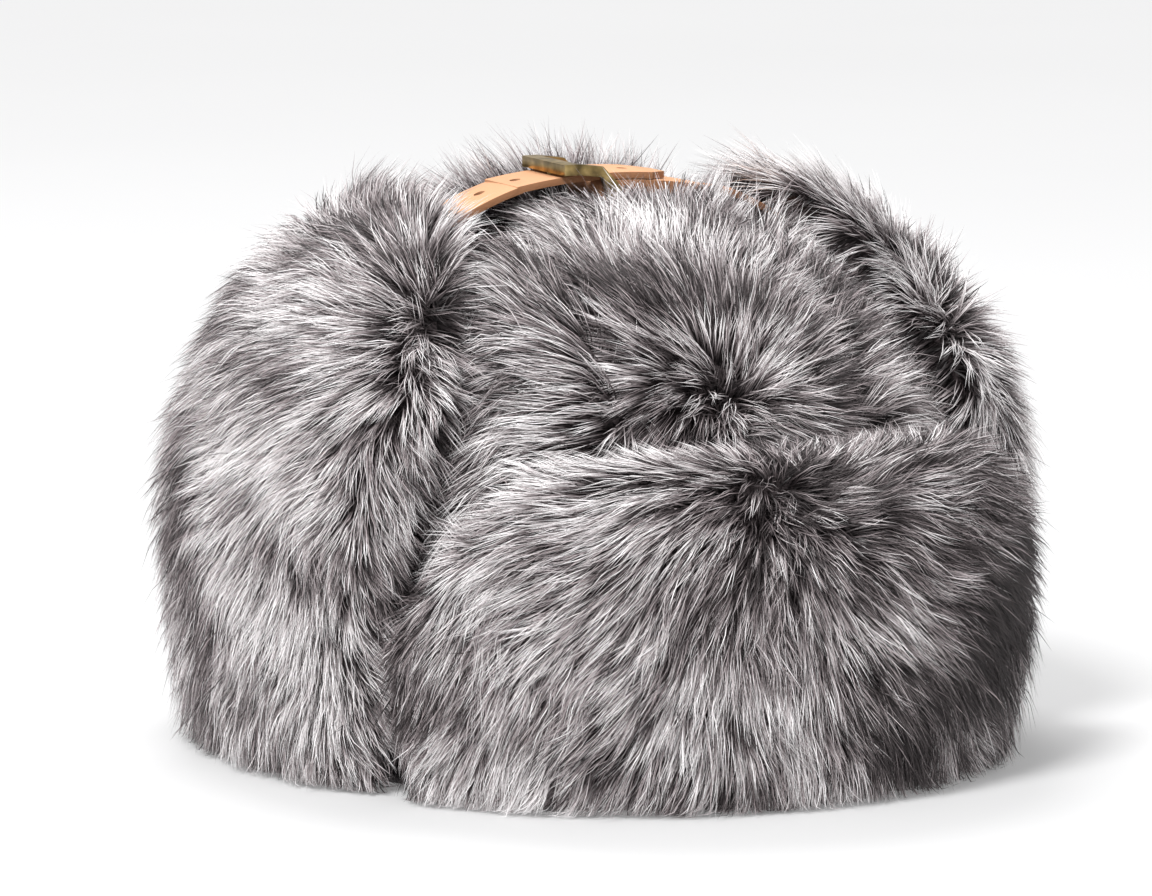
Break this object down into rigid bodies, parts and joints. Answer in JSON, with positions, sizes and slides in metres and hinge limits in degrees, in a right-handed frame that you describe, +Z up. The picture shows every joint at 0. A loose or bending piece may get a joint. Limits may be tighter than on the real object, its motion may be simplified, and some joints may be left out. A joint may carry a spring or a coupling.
{
  "type": "trapper hat",
  "caption": "Silver-grey fur trapper hat with its visor, neck flap and ear flaps folded up and joined over the crown by a buckled leather strap.",
  "frame": {"origin": "centre of the head opening, in the plane of the rim's flat underside", "axes": "+Z up, -Y towards the wearer's face, +X towards the wearer's left"},
  "size_m": [0.276, 0.32, 0.1909],
  "materials": {
    "fur": "long silver-grey fur",
    "wadding": "quilted wadding",
    "flap_cloth": "matte brushed cloth",
    "lining_satin": "quilted satin",
    "band_leather": "soft matte",
    "binding_tape": "ribbed tape",
    "strap_leather": "natural vegetable tan",
    "brass": "aged satin"
  },
  "bodies": {
    "crown": {"crown_centre_panel": "fur", "crown_left_panel": "fur", "crown_right_panel": "fur", "crown_padding": "wadding", "crown_lining": "lining_satin", "sweatband": "band_leather", "rim_binding": "binding_tape"},
    "visor": {"visor_fur": "fur", "visor_padding": "wadding", "visor_backing": "flap_cloth"},
    "neck_flap": {"neck_fur": "fur", "neck_padding": "wadding", "neck_backing": "flap_cloth"},
    "right_ear_flap": {"right_ear_fur": "fur", "right_ear_padding": "wadding", "right_ear_backing": "flap_cloth", "tongue_strap": "strap_leather", "right_strap_rivets": "brass"},
    "left_ear_flap": {"left_ear_fur": "fur", "left_ear_padding": "wadding", "left_ear_backing": "flap_cloth", "buckle_strap": "strap_leather", "left_strap_rivets": "brass"},
    "buckle": {"buckle_frame": "brass", "buckle_stud": "brass"}
  },
  "joints": [
    {"name": "right_ear_fold", "type": "hinge", "parent": "crown", "child": "right_ear_flap", "pos_m": [-0.105, 0, 0], "axis": [0, -1, 0], "range_deg": [0, 170]},
    {"name": "left_ear_fold", "type": "hinge", "parent": "crown", "child": "left_ear_flap", "pos_m": [0.105, 0, 0], "axis": [0, 1, 0], "range_deg": [0, 170]},
    {"name": "visor_fold", "type": "hinge", "parent": "crown", "child": "visor", "pos_m": [0, -0.1263, 0], "axis": [1, 0, 0], "range_deg": [0, 120]},
    {"name": "neck_flap_fold", "type": "hinge", "parent": "crown", "child": "neck_flap", "pos_m": [0, 0.1263, 0], "axis": [-1, 0, 0], "range_deg": [0, 165]},
    {"name": "buckle_lift", "type": "hinge", "parent": "left_ear_flap", "child": "buckle", "pos_m": [0.001, 0.004, 0.18075], "axis": [0, 1, 0], "range_deg": [0, 50]}
  ],
  "couplings": [
    {"joint": "left_ear_fold", "follows": "right_ear_fold", "ratio": 1}
  ]
}
